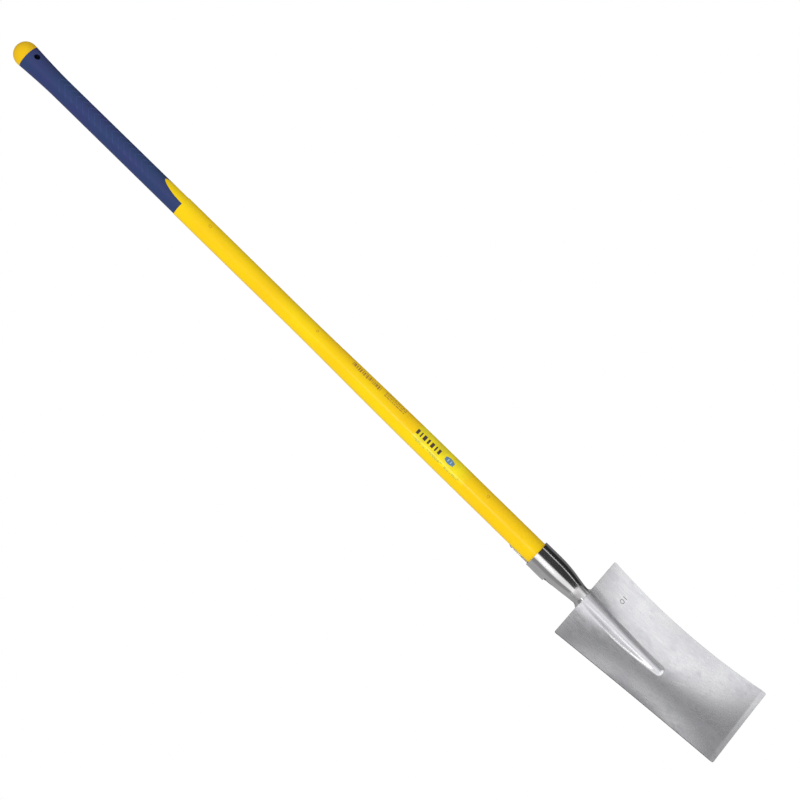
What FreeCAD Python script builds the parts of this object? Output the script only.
import FreeCAD, Part
import math
import os

# Long-handled trenching spade. All lengths are in millimetres.
# The hang hole's centre is the origin, +Z runs up the handle, and the blade's hollow front faces -Y.
V = FreeCAD.Vector

# ---- Driving dimensions: handle ----
handle_length = 1100.0      # tip of the end cap to the lower end inside the socket
hole_drop = 35.5            # tip of the end cap down to the hang hole
insertion = 72.5            # length of handle held inside the socket
cap_height = 23.4           # dome and skirt of the end cap
cap_radius = 18.2
stem_length = 30.0          # plug of the end cap inside the core tube
hang_hole_radius = 4.5
countersink = 0.9
core_radius = 11.0          # glass-fibre tube, outside
core_bore = 8.0             # glass-fibre tube, inside
plug_length = 135.0         # solid plug in the tube's lower end
plug_clearance = 0.1
grip_length = 303.6         # from the cap down to the grip's lower edge
grip_radius = 15.2          # grip over its straight length
grip_top_radius = 18.0      # grip where it meets the cap
grip_flare_length = 62.0
grip_thickness = 2.0
joint_chamfer = 0.5         # shadow groove between the cap and the grip
finger_length = 42.0        # yellow tongue let into the grip's lower front
finger_half_width = 10.0
finger_turn = 20.5          # degrees that its middle stands round from the front, towards +X
finger_clearance = 0.15
seat_clearance = 0.15       # general assembly clearance

# Sheath radius against distance below the tip, from under the grip to the socket's mouth
sheath_upper_radius = 15.75
sheath_waist_radius = 15.55
sheath_middle_radius = 16.75
sheath_lower_radius = 17.6
sheath_end_radius = 12.0    # at the handle's lower end
waist_from = 0.25           # places along the bare sheath, as shares of its length
waist_to = 0.37
middle_at = 0.51
lower_at = 0.86

# ---- Driving dimensions: socket and strap ----
socket_length = 90.5        # mouth to the blade's top edge
steel = 2.0                 # sheet of the socket shell and the blade
band_offset = 0.8           # wings sit this much towards the back, to clear the strap
band_gap = 0.8              # room between the wings and the sheath at the front
band_radius = sheath_lower_radius + band_gap + band_offset + steel     # outside of the wings round the mouth
band_length = 32.0
wing_reach = 15.8           # how far back the wings' free edges reach
wing_corner = 5.0
neck_radius = 14.2          # shell where it stands on the blade
shoulder_depth = 62.0
shoulder_radius = neck_radius + 3.7
throat_depth = 77.0
throat_radius = neck_radius + 1.1
edge_y_top = -1.0           # trimmed edge of the shell just under the wings
edge_y_neck = 3.4           # the same edge at the neck
strap_sheet = 1.7
strap_rise = 37.0           # tongue above the mouth
strap_half_angle = 55.0
strap_lap_angle = 84.0      # the strap passes inside the shell's edges here
strap_corner = 12.0
strap_neck_ease = 0.3       # extra room between the strap and the shell at the neck
screw_radius = 2.0
screw_head_radius = 4.2
screw_head_height = 2.4
screw_crown = 8.0           # radius of the head's rounded top
screw_slot = 0.9            # slot's width
screw_slot_depth = 0.8
screw_depth = 16.0          # shank length inside the handle
screw_clearance = 0.05
screw_heights = (10.0, 26.0)    # above the mouth
weld_size = 2.2             # beads along the strap
weld_leg = 3.3              # fillets beside the neck
weld_wrap = 1.2             # how far they run down over the blade's top edge
weld_sag = 0.35             # hollow of the fillets, as a share of their leg
weld_rest = 0.12            # the beads lie this far off the sheets they join

# ---- Driving dimensions: blade ----
blade_length = 280.0
blade_top_width = 153.0
blade_bottom_width = 143.0
blade_waist = 6.0           # each side is drawn in this much at mid length
blade_lift = 7.65           # degrees that the blade leans forward of the handle
blade_corner_y = -8.0       # top corners, in front of the handle's axis
bow = 8.5                   # lengthwise bow of the side edges
dish_middle = 15.4          # depth of the cross curve at mid length
dish_end = 3.0              # the same at the top and bottom edges
corner_radius = 3.0
bevel_length = 7.0          # ground front of the cutting edge
bevel_depth = 1.3
rib_length = 160.0          # the last of it lies inside the plate
rib_middle = 0.47           # stations down the rib, as shares of its length
rib_end = 0.93
rib_crest_middle = -8.5     # Y of the crest at the middle station
rib_crest_end = -6.4        # Y of the crest at the end station
rib_half_width = 13.6       # at the middle station
rib_end_half_width = 8.0
rib_crest_radius = 5.0
rib_end_crest_radius = 3.2
rib_base_middle = 2.0       # Y of the rib's foot, inside the plate, at the middle station
rib_base_end = -3.5
rib_tip_drop = 5.2          # how far the crest sinks from the end station to the tip
rib_tip_taper = 1.5
rib_tip_base = 1.5

# ---- Driving dimensions: printed films ----
film = 0.15
spec_film = (654.0, 764.0, 45.0)        # from, to (below the tip), half angle
maker_film = (786.0, 886.0, 52.0)

# ---- Places that follow from them ----
z_tip = hole_drop
z_joint = z_tip - cap_height
z_grip_end = z_joint - grip_length
z_end = z_tip - handle_length
z_mouth = z_end + insertion
z_blade = z_mouth - socket_length
under_grip_radius = grip_radius - grip_thickness
far = 60.0                  # longer than any cross-section


def sheath_stations():
    """(radius, z) down the bare sheath, from the grip's edge to the socket's mouth."""
    bare = z_grip_end - z_mouth
    shares = ((0.0, sheath_upper_radius), (0.10, sheath_upper_radius), (waist_from, sheath_waist_radius),
              (waist_to, sheath_waist_radius), (middle_at, sheath_middle_radius),
              (lower_at, sheath_lower_radius), (1.0, sheath_lower_radius))
    return [(radius, z_grip_end - share * bare) for share, radius in shares]


def sheath_skin(extra):
    """Smooth outer line of the bare sheath, moved outwards by extra."""
    points = [V(radius + extra, 0, z) for radius, z in sheath_stations()]
    curve = Part.BSplineCurve()
    curve.interpolate(points)
    return curve.toShape()


def finger(clearance):
    """Half-ellipse prism beside the front, from the grip's lower edge up to the finger's tip."""
    width = finger_half_width - clearance
    height = finger_length - clearance
    ellipse = Part.Ellipse(V(0, height, 0), V(width, 0, 0), V(0, 0, 0))
    wire = Part.Wire(ellipse.toShape())
    wire.rotate(V(0, 0, 0), V(1, 0, 0), 90)
    wire.translate(V(0, 0, z_grip_end))
    prism = Part.Face(wire).extrude(V(0, -far, 0))
    upper = Part.makeBox(2 * far, 2 * far, far, V(-far, -2 * far, z_grip_end))
    tongue = prism.common(upper)
    tongue.rotate(V(0, 0, 0), V(0, 0, 1), finger_turn)
    return tongue


def hang_hole():
    return Part.makeCylinder(hang_hole_radius, 2 * far, V(0, -far, 0), V(0, 1, 0))


def screw_holes(radius):
    tools = [Part.makeCylinder(radius, far, V(0, 0, z_mouth + height), V(0, 1, 0))
             for height in screw_heights]
    return tools[0].multiFuse(tools[1:])


def end_cap():
    """Domed cap with a skirt, and a stem that plugs the core tube."""
    dome_centre = z_tip - cap_radius
    arc = Part.Arc(V(cap_radius, 0, dome_centre),
                   V(cap_radius * math.sin(math.radians(45)), 0,
                     dome_centre + cap_radius * math.cos(math.radians(45))),
                   V(0, 0, z_tip)).toShape()
    stem = core_bore - plug_clearance
    path = [V(0, 0, z_tip), V(0, 0, z_joint - stem_length), V(stem, 0, z_joint - stem_length),
            V(stem, 0, z_joint), V(cap_radius - joint_chamfer, 0, z_joint),
            V(cap_radius, 0, z_joint + joint_chamfer), V(cap_radius, 0, dome_centre)]
    edges = [Part.makeLine(a, b) for a, b in zip(path, path[1:])]
    face = Part.Face(Part.Wire(Part.__sortEdges__(edges + [arc])))
    return face.revolve(V(0, 0, 0), V(0, 0, 1), 360).cut(hang_hole())


def core_tube():
    tube = Part.makeCylinder(core_radius, z_joint - z_end, V(0, 0, z_end))
    tube = tube.cut(Part.makeCylinder(core_bore, z_joint - z_end, V(0, 0, z_end)))
    return tube.cut(hang_hole()).cut(screw_holes(screw_radius + screw_clearance))


def lower_plug():
    plug = Part.makeCylinder(core_bore - plug_clearance, plug_length, V(0, 0, z_end))
    return plug.cut(screw_holes(screw_radius + screw_clearance))


def sheath():
    """Moulded sheath over the core: thin under the grip, bare below it, tapered inside the socket."""
    stations = sheath_stations()
    skin = sheath_skin(0)
    top = [V(core_radius, 0, z_joint), V(under_grip_radius, 0, z_joint), V(under_grip_radius, 0, z_grip_end),
           V(stations[0][0], 0, z_grip_end)]
    low = [V(stations[-1][0], 0, z_mouth), V(sheath_lower_radius, 0, z_mouth - band_length),
           V(sheath_end_radius, 0, z_end), V(core_radius, 0, z_end), V(core_radius, 0, z_joint)]
    edges = [Part.makeLine(a, b) for a, b in zip(top, top[1:])]
    edges += [skin]
    edges += [Part.makeLine(a, b) for a, b in zip(low, low[1:])]
    face = Part.Face(Part.Wire(Part.__sortEdges__(edges)))
    solid = face.revolve(V(0, 0, 0), V(0, 0, 1), 360)
    ring = Part.makeCylinder(grip_radius, finger_length, V(0, 0, z_grip_end))
    ring = ring.cut(Part.makeCylinder(under_grip_radius - 0.5, finger_length, V(0, 0, z_grip_end)))
    solid = solid.fuse(ring.common(finger(finger_clearance))).removeSplitter()
    return solid.cut(hang_hole()).cut(screw_holes(screw_radius + screw_clearance))


def flare_radius(z):
    """Grip radius over its flared top."""
    share = max(0.0, 1 - (z_joint - z) / grip_flare_length)
    return grip_radius + (grip_top_radius - grip_radius) * share ** 1.5


def grip():
    """Soft sleeve with a flared top and a notch for the sheath's finger."""
    z_flare = z_joint - grip_flare_length
    z_rim = z_joint - joint_chamfer
    rim_radius = flare_radius(z_rim)
    heights = [z_flare + share * (z_rim - z_flare) for share in (0, 0.25, 0.5, 0.75, 1)]
    flare = Part.BSplineCurve()
    flare.interpolate([V(flare_radius(z), 0, z) for z in heights])
    path = [V(rim_radius, 0, z_rim), V(rim_radius - joint_chamfer, 0, z_joint),
            V(under_grip_radius, 0, z_joint), V(under_grip_radius, 0, z_grip_end),
            V(grip_radius, 0, z_grip_end), V(grip_radius, 0, z_flare)]
    edges = [Part.makeLine(a, b) for a, b in zip(path, path[1:])]
    face = Part.Face(Part.Wire(Part.__sortEdges__(edges + [flare.toShape()])))
    solid = face.revolve(V(0, 0, 0), V(0, 0, 1), 360)
    mouth = V(0, countersink - flare_radius(0), 0)
    sink = Part.makeCone(hang_hole_radius, hang_hole_radius + 4, 4, mouth, V(0, -1, 0))
    back_sink = sink.mirror(V(0, 0, 0), V(0, 1, 0))
    return solid.cut(finger(0)).cut(hang_hole()).cut(sink).cut(back_sink)


def film_patch(span, angle):
    """Thin printed film on the front of the bare sheath, between two distances below the tip."""
    z_high = z_tip - span[0]
    z_low = z_tip - span[1]
    inner = sheath_skin(0)
    outer = sheath_skin(film)
    low_r, high_r = sheath_lower_radius, sheath_upper_radius
    closing = [Part.makeLine(V(high_r, 0, z_grip_end), V(high_r + film, 0, z_grip_end)),
               Part.makeLine(V(low_r, 0, z_mouth), V(low_r + film, 0, z_mouth))]
    face = Part.Face(Part.Wire(Part.__sortEdges__([inner, closing[1], outer, closing[0]])))
    shell = face.revolve(V(0, 0, 0), V(0, 0, 1), 2 * angle)
    shell.rotate(V(0, 0, 0), V(0, 0, 1), -90 - angle)
    return shell.common(Part.makeBox(2 * far, 2 * far, z_high - z_low, V(-far, -far, z_low)))


def socket_sections(inset):
    """Circles down the socket: (depth below the mouth, centre Y, radius)."""
    rows = ((0.0, band_offset, band_radius), (0.45 * band_length, band_offset, band_radius),
            (0.9 * band_length, band_offset, band_radius), (shoulder_depth, 0.0, shoulder_radius),
            (throat_depth, 0.0, throat_radius), (socket_length, 0.0, neck_radius))
    return [Part.Wire(Part.makeCircle(radius - inset, V(0, y, z_mouth - depth))) for depth, y, radius in rows]


def edge_y(depth):
    """Y of the shell's trimmed edge, below the wings."""
    share = (depth - band_length) / (socket_length - band_length)
    return edge_y_top + share * (edge_y_neck - edge_y_top)


def shell_outline():
    """Side outline of the shell: wings round the mouth, then edges trimmed near the middle."""
    z_wing = z_mouth - band_length
    corner = wing_corner
    bend = math.sqrt(0.5) * corner
    front = V(0, -far, z_mouth)
    mouth_arc = Part.Arc(V(0, wing_reach - corner, z_mouth),
                         V(0, wing_reach - corner + bend, z_mouth - corner + bend),
                         V(0, wing_reach, z_mouth - corner))
    lower_arc = Part.Arc(V(0, wing_reach, z_wing + corner),
                         V(0, wing_reach - corner + bend, z_wing + corner - bend),
                         V(0, wing_reach - corner, z_wing))
    edges = [Part.makeLine(front, V(0, wing_reach - corner, z_mouth)), mouth_arc.toShape(),
             Part.makeLine(V(0, wing_reach, z_mouth - corner), V(0, wing_reach, z_wing + corner)),
             lower_arc.toShape(), Part.makeLine(V(0, wing_reach - corner, z_wing), V(0, edge_y_top, z_wing)),
             Part.makeLine(V(0, edge_y_top, z_wing), V(0, edge_y_neck, z_blade)),
             Part.makeLine(V(0, edge_y_neck, z_blade), V(0, -far, z_blade)),
             Part.makeLine(V(0, -far, z_blade), front)]
    face = Part.Face(Part.Wire(Part.__sortEdges__(edges)))
    face.translate(V(-far, 0, 0))
    return face.extrude(V(2 * far, 0, 0))


def socket_shell():
    """Pressed front half of the socket, with wings that fold round the handle at the mouth."""
    outer = Part.makeLoft(socket_sections(0), True, False)
    inner = Part.makeLoft(socket_sections(steel), True, False)
    return outer.cut(inner).common(shell_outline())


def sector(depth, radius, thickness, half_angle):
    """Closed wire of a ring's back sector at one depth below the mouth."""
    z = z_mouth - depth

    def point(r, degrees):
        angle = math.radians(degrees)
        return V(r * math.sin(angle), r * math.cos(angle), z)

    outer = Part.Arc(point(radius, -half_angle), point(radius, 0), point(radius, half_angle)).toShape()
    inner = Part.Arc(point(radius - thickness, half_angle), point(radius - thickness, 0),
                     point(radius - thickness, -half_angle)).toShape()
    sides = [Part.makeLine(point(radius, half_angle), point(radius - thickness, half_angle)),
             Part.makeLine(point(radius - thickness, -half_angle), point(radius, -half_angle))]
    return Part.Wire([outer, sides[0], inner, sides[1]])


def strap_stations():
    """(depth below the mouth, outside radius, half angle): on the sheath, then inside the shell."""
    straight = sheath_lower_radius + seat_clearance + strap_sheet
    tuck = steel + seat_clearance
    shoulder = shoulder_radius - tuck
    rows = [(-strap_rise, straight, strap_half_angle)]
    for share in (0, 0.25, 0.5, 0.75, 1):
        rows.append((band_length + share * (shoulder_depth - band_length),
                     straight + share * (shoulder - straight),
                     strap_half_angle + share * (strap_lap_angle - strap_half_angle)))
    rows.append((throat_depth, throat_radius - tuck, strap_lap_angle))
    rows.append((socket_length, neck_radius - tuck - strap_neck_ease, strap_lap_angle))
    return rows


def back_strap():
    """Rear half of the socket: a tongue up the handle, held under the wings and lapped inside the shell."""
    wires = [sector(depth, radius, strap_sheet, angle) for depth, radius, angle in strap_stations()]
    solid = Part.makeLoft(wires, True, True)
    half = (sheath_lower_radius + seat_clearance + strap_sheet) * math.sin(math.radians(strap_half_angle)) + 1
    z_top = z_mouth + strap_rise
    bend = strap_corner * (1 - math.sqrt(0.5))
    top_left = Part.Arc(V(-half, 0, z_top - strap_corner), V(-half + bend, 0, z_top - bend),
                        V(-half + strap_corner, 0, z_top)).toShape()
    top_right = Part.Arc(V(half - strap_corner, 0, z_top), V(half - bend, 0, z_top - bend),
                         V(half, 0, z_top - strap_corner)).toShape()
    edges = [top_left, Part.makeLine(V(-half + strap_corner, 0, z_top), V(half - strap_corner, 0, z_top)),
             top_right,
             Part.makeLine(V(half, 0, z_top - strap_corner), V(half, 0, z_blade)),
             Part.makeLine(V(half, 0, z_blade), V(-half, 0, z_blade)),
             Part.makeLine(V(-half, 0, z_blade), V(-half, 0, z_top - strap_corner))]
    outline = Part.Face(Part.Wire(Part.__sortEdges__(edges))).extrude(V(0, far, 0))
    lower = Part.makeBox(2 * far, 2 * far, socket_length + 1, V(-far, -far, z_blade - 1))
    kept = solid.common(outline.fuse(lower))
    return kept.cut(screw_holes(screw_radius + 4 * screw_clearance))


def strap_screws():
    """Two round-headed screws through the tongue into the handle."""
    seat = sheath_lower_radius + seat_clearance + strap_sheet
    screws = []
    for height in screw_heights:
        z = z_mouth + height
        shank = Part.makeCylinder(screw_radius, screw_depth + strap_sheet, V(0, seat - screw_depth, z),
                                  V(0, 1, 0))
        head = Part.makeCylinder(screw_head_radius, screw_head_height + 1, V(0, seat - 1, z), V(0, 1, 0))
        head = head.cut(Part.makeCylinder(seat, far, V(0, 0, z - far / 2)))
        ball = Part.makeSphere(screw_crown, V(0, seat + screw_head_height - screw_crown, z))
        slot = Part.makeBox(2 * far, 2 * screw_slot_depth, screw_slot,
                            V(-far, seat + screw_head_height - screw_slot_depth, z - screw_slot / 2))
        screws.append(head.common(ball).fuse(shank).cut(slot))
    return Part.makeCompound(screws)


def plate_point(across, down):
    """Point of the blade's middle surface; across is -1 to 1, down is 0 at the top edge to 1."""
    lift = math.radians(blade_lift)
    swell = 1 - (2 * down - 1) ** 2
    width = blade_top_width + (blade_bottom_width - blade_top_width) * down - 2 * blade_waist * swell
    depth = bow * swell + (dish_end + (dish_middle - dish_end) * swell) * (1 - across * across)
    along = down * blade_length
    return V(across * width / 2,
             blade_corner_y - along * math.sin(lift) + depth * math.cos(lift),
             z_blade - along * math.cos(lift) - depth * math.sin(lift))


def plate_surface():
    """The middle surface is quadratic both ways, so a 3 by 3 Bezier patch holds it exactly."""
    def control(values):
        return [values[0], values[1] * 2 - (values[0] + values[2]) * 0.5, values[2]]

    grid = [[plate_point(across, down) for down in (0, 0.5, 1)] for across in (-1, 0, 1)]
    rows = [control(row) for row in grid]
    columns = [control([rows[i][j] for i in range(3)]) for j in range(3)]
    surface = Part.BezierSurface()
    surface.increase(2, 2)
    for i in range(3):
        for j in range(3):
            surface.setPole(i + 1, j + 1, columns[j][i])
    return surface


def rib_section(down, crest_y, crest_radius, half_width, base_y, inset):
    """Rounded-V section of the rib at one place down the blade, closed behind the plate."""
    z = z_blade - down
    radius = crest_radius - inset
    centre = crest_y + crest_radius
    half = half_width - inset
    dx, dy = half, base_y - centre
    reach = math.hypot(dx, dy)
    tangent = math.atan2(dy, dx) - math.acos(radius / reach)
    touch = V(radius * math.cos(tangent), centre + radius * math.sin(tangent), z)
    crest = V(0, centre - radius, z)
    left = V(-touch.x, touch.y, z)
    back = base_y + 20
    arc = Part.Arc(left, crest, touch).toShape()
    corners = [touch, V(half, base_y, z), V(half, back, z), V(-half, back, z), V(-half, base_y, z), left]
    lines = [Part.makeLine(a, b) for a, b in zip(corners, corners[1:])]
    return Part.Wire([arc] + lines)


def rib_body(inset):
    """The rib's outer or inner form, running on from the neck and fading out down the blade."""
    end = rib_length - rib_tip_taper * inset
    rows = ((0.0, -neck_radius, neck_radius - 0.2, neck_radius + 0.05, 0.0),
            (rib_middle * rib_length, rib_crest_middle, rib_crest_radius, rib_half_width, rib_base_middle),
            (rib_end * rib_length, rib_crest_end, rib_end_crest_radius, rib_end_half_width, rib_base_end),
            (end, rib_crest_end + rib_tip_drop, rib_end_crest_radius, rib_end_half_width - rib_tip_taper,
             rib_tip_base))
    wires = [rib_section(down, crest, radius, half, base, inset) for down, crest, radius, half, base in rows]
    return Part.makeLoft(wires, True, True)


def cross_curve(down, shift):
    """Cross curve of the plate, a little wider than it, moved back by shift from the middle surface."""
    reach = 1.2
    start, middle, end = [plate_point(across, down) + shift for across in (-reach, 0, reach)]
    curve = Part.BezierCurve()
    curve.setPoles([start, middle * 2 - (start + end) * 0.5, end])
    return curve.toShape()


def bevel_tool(back):
    """Solid that grinds the front of the cutting edge."""
    overrun = 0.3
    start = cross_curve(1 - bevel_length / blade_length, back * (-steel / 2))
    end = cross_curve(1 + overrun * bevel_length / blade_length,
                      back * (bevel_depth * (1 + overrun) - steel / 2))
    return Part.makeRuledSurface(start, end).extrude(back * -12)


def blade():
    """Dished sheet with a pressed rib that carries on from the socket's neck."""
    lift = math.radians(blade_lift)
    back = V(0, math.cos(lift), -math.sin(lift))
    front_face = plate_surface().toShape()
    front_face.translate(back * (-steel / 2))
    plate = front_face.extrude(back * steel)
    corners = [edge for edge in plate.Edges if abs(edge.Length - steel) < 0.01]
    plate = plate.makeFillet(corner_radius, corners).cut(bevel_tool(back))
    bump = rib_body(0).common(front_face.extrude(back * -far))
    solid = plate.fuse(bump).cut(rib_body(steel))
    pieces = sorted(solid.Solids, key=lambda item: item.Volume)
    return pieces[-1].removeSplitter()


def neck_welds(shell, plate):
    """Two fillet welds beside the neck, where it stands on the blade's top edge."""
    foot = neck_radius + weld_leg
    top = z_blade + 2 * weld_leg
    middle = V(neck_radius + weld_sag * weld_leg, 0, z_blade + 2 * weld_sag * weld_leg)
    arc = Part.Arc(V(foot, 0, z_blade), middle, V(neck_radius, 0, top)).toShape()
    path = [V(neck_radius, 0, top), V(neck_radius - steel / 2, 0, top),
            V(neck_radius - steel / 2, 0, z_blade - weld_wrap), V(foot, 0, z_blade - weld_wrap),
            V(foot, 0, z_blade)]
    edges = [Part.makeLine(a, b) for a, b in zip(path, path[1:])]
    ring = Part.Face(Part.Wire(Part.__sortEdges__(edges + [arc]))).revolve(V(0, 0, 0), V(0, 0, 1), 360)
    y_front = blade_corner_y - steel
    beside = Part.makeBox(2 * far, edge_y_neck - y_front, far, V(-far, y_front, z_blade - far / 2))
    beads = ring.common(beside).cut(shell).cut(plate)
    pieces = sorted(beads.Solids, key=lambda item: item.Volume)
    return Part.makeCompound(pieces[-2:])


def strap_outside(depth):
    """Outside radius of the strap at any depth below the mouth."""
    rows = strap_stations()
    for (above, upper, _), (below, lower, _) in zip(rows, rows[1:]):
        if above <= depth <= below:
            return upper + (lower - upper) * (depth - above) / (below - above)
    return rows[-1][1]


def strap_weld(side):
    """Fillet bead in the corner between the shell's trimmed edge and the strap."""
    foot = socket_length - 2 * weld_leg - weld_size
    wires = []
    for depth in (shoulder_depth, throat_depth, foot):
        radius = strap_outside(depth) + weld_rest
        y = edge_y(depth) + weld_rest
        z = z_mouth - depth
        x = math.sqrt(radius ** 2 - y ** 2)
        x_back = math.sqrt(radius ** 2 - (y + weld_size) ** 2)
        corners = [V(side * x, y, z), V(side * (x + steel), y, z), V(side * x_back, y + weld_size, z)]
        wires.append(Part.makePolygon(corners + corners[:1]))
    return Part.makeLoft(wires, True, True)


def main():
    shell = socket_shell()
    plate = blade()
    nodes = {
        "end_cap": end_cap(),
        "grip": grip(),
        "sheath": sheath(),
        "core_tube": core_tube(),
        "lower_plug": lower_plug(),
        "spec_film": film_patch(spec_film[:2], spec_film[2]),
        "maker_film": film_patch(maker_film[:2], maker_film[2]),
        "socket_shell": shell,
        "back_strap": back_strap(),
        "strap_screws": strap_screws(),
        "blade": plate,
        "neck_welds": neck_welds(shell, plate),
        "strap_weld_left": strap_weld(-1),
        "strap_weld_right": strap_weld(1),
    }
    os.makedirs("parts", exist_ok=True)
    for name, shape in nodes.items():
        shape.exportStep(os.path.join("parts", name + ".step"))
        box = shape.BoundBox
        print("%-17s solids %d valid %s volume %10.1f  x %.1f %.1f  y %.1f %.1f  z %.1f %.1f" % (
            name, len(shape.Solids), shape.isValid(), shape.Volume,
            box.XMin, box.XMax, box.YMin, box.YMax, box.ZMin, box.ZMax))


main()
